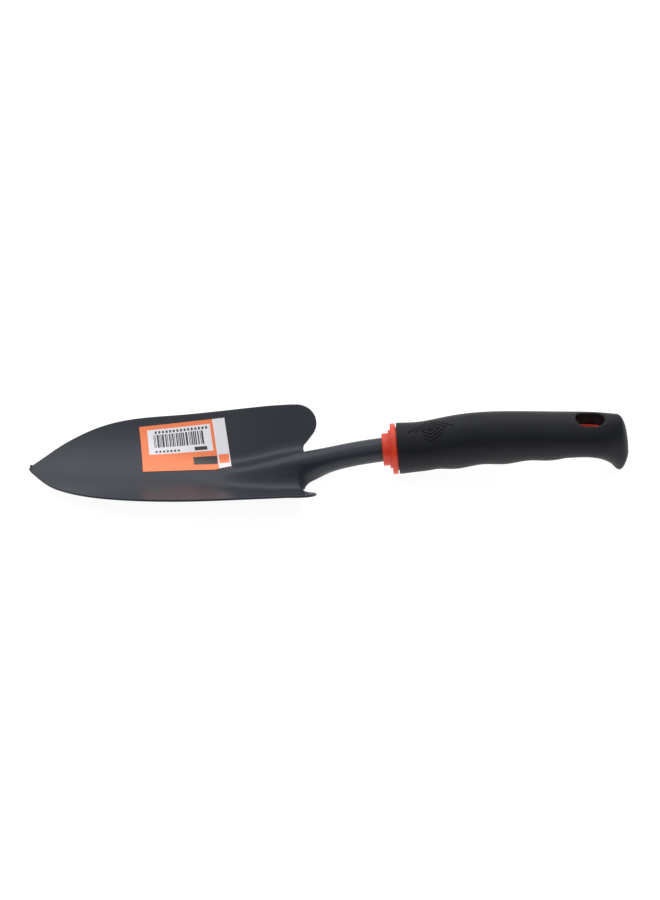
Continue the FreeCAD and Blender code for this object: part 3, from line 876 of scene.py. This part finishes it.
for piece, node, material_slot in [(blade, "blade", "coated_steel"), (grip, "grip", "black_rubber"),
                                   (core_body, "handle_core", "orange_plastic"),
                                   (core_collar, "handle_core", "orange_plastic")]:
    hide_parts(node)
    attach(piece, "root")
for piece in label:
    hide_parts("label")
    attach(piece, "root")

# ---------------------------------------------------------------- floor, light and camera
floor_material, floor_tree, floor_shader, floor_at = new_material("floor", (0.2, 0.2, 0.2), 0.6)
floor_shader.inputs["Emission Color"].default_value = (1, 1, 1, 1)
floor_shader.inputs["Emission Strength"].default_value = 0.93
FAR = 3000
floor = make_object("floor", [(-FAR, -FAR, 0), (FAR, -FAR, 0), (FAR, FAR, 0), (-FAR, FAR, 0)],
                    [(0, 1, 2, 3)], floor_material)


def area_light(name, place, target, sizes, power):
    """Soft rectangular light in metres at a place, facing a target."""
    data = bpy.data.lights.new(name, "AREA")
    data.shape = "RECTANGLE"
    data.size, data.size_y = sizes
    data.energy = power
    light = bpy.data.objects.new(name, data)
    light.location = place
    light.rotation_euler = (Vector(target) - Vector(place)).to_track_quat("-Z", "Y").to_euler()
    bpy.context.scene.collection.objects.link(light)


area_light("back_softbox", (0.0, 0.9, 1.4), (0, 0, 0), (2.6, 1.3), 11.0)

world = bpy.data.worlds.new("studio")
world.use_nodes = True
sky = world.node_tree
# a soft glow from above and behind, falling off to a dark room on the camera's side
glow = sky.nodes.new("ShaderNodeVectorMath")
glow.operation = "DOT_PRODUCT"
glow.inputs[1].default_value = (0.0, 0.5, 0.866)
sky.links.new(sky.nodes.new("ShaderNodeTexCoord").outputs["Generated"], glow.inputs[0])
strength = sky.nodes.new("ShaderNodeMapRange")
strength.inputs["From Min"].default_value = 0.05
strength.inputs["From Max"].default_value = 0.55
strength.inputs["To Min"].default_value = 0.03
strength.inputs["To Max"].default_value = 0.85
sky.links.new(glow.outputs["Value"], strength.inputs["Value"])
sky.links.new(strength.outputs["Result"], sky.nodes["Background"].inputs["Strength"])
sky.nodes["Background"].inputs["Color"].default_value = (1, 1, 1, 1)
bpy.context.scene.world = world
bpy.context.scene.view_settings.view_transform = "Standard"

ELEVATION = math.radians(43.0)
AZIMUTH = math.radians(-0.7)
ROLL = math.radians(-1.8)
TARGET = Vector((1.984, 0.0, 17.0)) * MM
DISTANCE = 0.5998
forward = Vector((math.sin(AZIMUTH) * math.cos(ELEVATION), math.cos(AZIMUTH) * math.cos(ELEVATION),
                  -math.sin(ELEVATION)))
right = Vector((math.cos(AZIMUTH), -math.sin(AZIMUTH), 0))
up = right.cross(forward)
rolled_right = right * math.cos(ROLL) + up * math.sin(ROLL)
rolled_up = up * math.cos(ROLL) - right * math.sin(ROLL)
camera_data = bpy.data.cameras.new("camera")
camera_data.lens = 45.12
camera = bpy.data.objects.new("camera", camera_data)
camera.matrix_world = Matrix.Translation(TARGET - forward * DISTANCE) @ Matrix(
    [rolled_right, rolled_up, -forward]).transposed().to_4x4()
bpy.context.scene.collection.objects.link(camera)
bpy.context.scene.camera = camera
